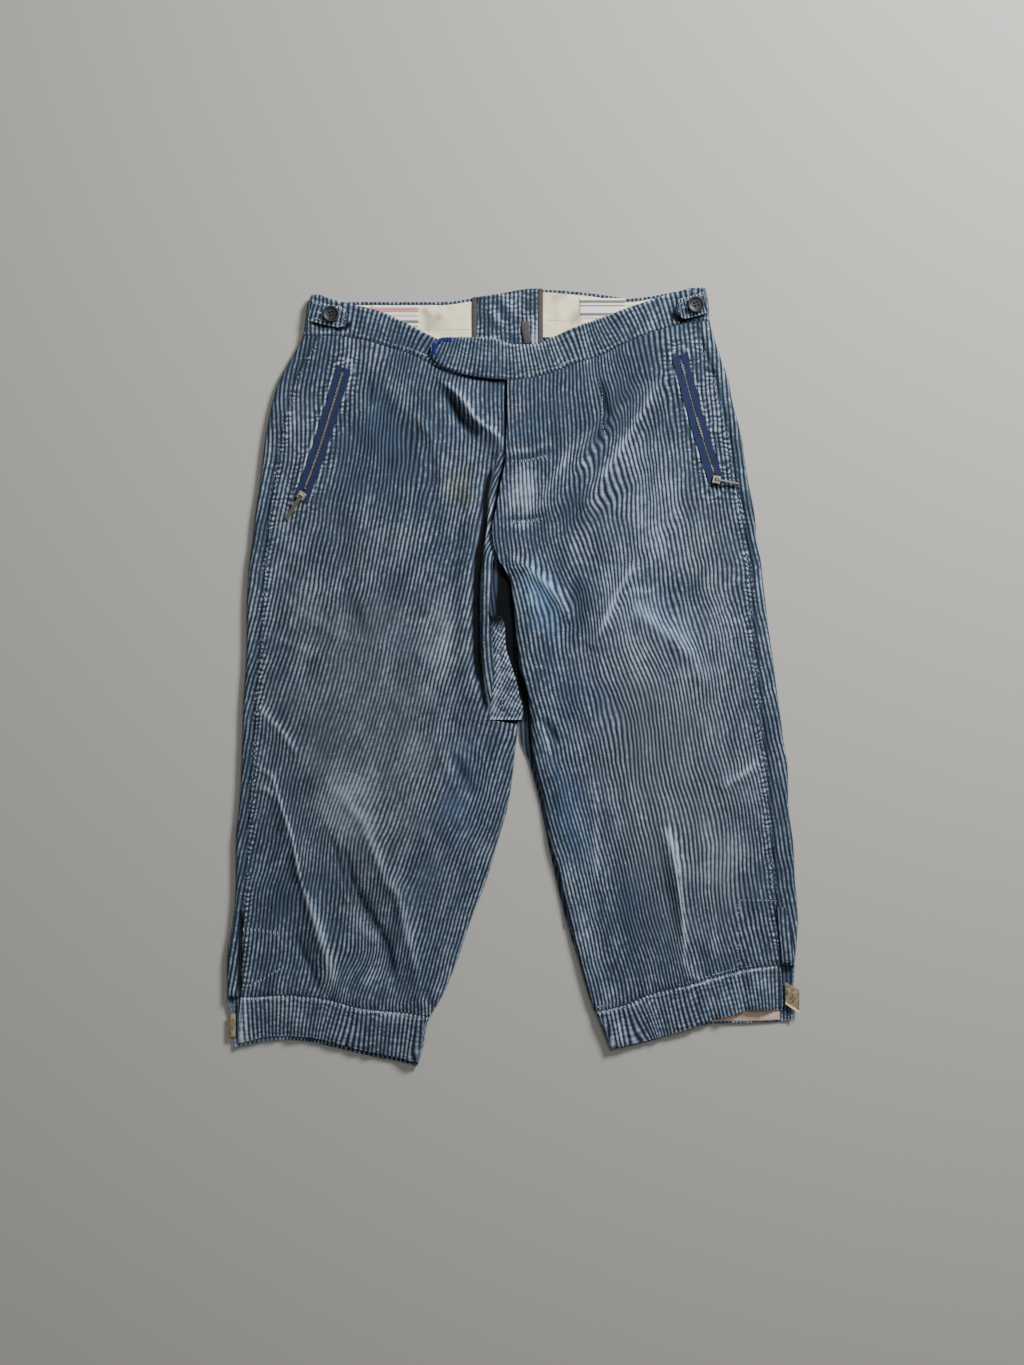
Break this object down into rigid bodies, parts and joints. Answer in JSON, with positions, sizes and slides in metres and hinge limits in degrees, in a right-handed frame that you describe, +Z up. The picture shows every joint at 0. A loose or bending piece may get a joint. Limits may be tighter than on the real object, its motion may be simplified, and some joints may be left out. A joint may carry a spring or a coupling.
{
  "type": "corduroy knee breeches, laid flat",
  "caption": "Wide-wale corduroy knee breeches laid flat, front up, with an open fly, slanted zip pockets and banded knees.",
  "frame": {"origin": "middle of the footprint, on the surface that the garment lies on", "axes": "+Y towards the waist, +X towards the wearer's left, +Z up from the surface, out of the front"},
  "size_m": [0.582, 0.7924, 0.0154],
  "materials": {
    "corduroy": "wide-wale cotton corduroy, faded blue, pale where worn on folds and seams",
    "lining_cotton": "plain woven cotton, unbleached cream",
    "cuff_facing": "plain woven cotton, washed-out pink",
    "binding_tape": "woven grey-brown tape",
    "label_cloth": "woven white label cloth, bare",
    "zip_tape": "dark blue woven zip tape",
    "zip_metal": "dull aged brass",
    "button_horn": "dark slate, satin",
    "leather": "tan, scuffed and mottled"
  },
  "bodies": {
    "root": {"right_front": "corduroy", "left_front": "corduroy", "right_back": "corduroy", "left_back": "corduroy", "fork_piece": "corduroy", "right_waistband": "corduroy", "left_waistband": "corduroy", "back_waistband_right": "corduroy", "back_waistband_left": "corduroy", "centre_back_panel": "corduroy", "cuff_front_right": "corduroy", "cuff_front_left": "corduroy", "cuff_back_right": "corduroy", "cuff_back_left": "corduroy", "underlap_left": "corduroy", "side_tab_right": "corduroy", "side_tab_left": "corduroy", "lining_right": "lining_cotton", "lining_left": "lining_cotton", "cuff_facing_left": "cuff_facing", "binding_right": "binding_tape", "binding_left": "binding_tape", "back_loop": "binding_tape", "label_right": "label_cloth", "label_left": "label_cloth", "zip_tape_right": "zip_tape", "zip_tape_left": "zip_tape", "zip_teeth_right": "zip_metal", "zip_teeth_left": "zip_metal", "zip_slider_right": "zip_metal", "zip_slider_left": "zip_metal", "button_right": "button_horn", "button_left": "button_horn", "cuff_strap_right": "leather", "cuff_tab_left": "leather"},
    "right_pull": {"zip_pull_right": "zip_metal"},
    "left_pull": {"zip_pull_left": "zip_metal"}
  },
  "joints": [
    {"name": "right_pull_hinge", "type": "hinge", "parent": "root", "child": "right_pull", "pos_m": [-0.2145, 0.18426, 0.01346], "axis": [-0.837, 0.5472, 0], "range_deg": [0, 150]},
    {"name": "left_pull_hinge", "type": "hinge", "parent": "root", "child": "left_pull", "pos_m": [0.2065, 0.20026, 0.01355], "axis": [-0.1713, -0.9852, 0], "range_deg": [0, 150]}
  ]
}
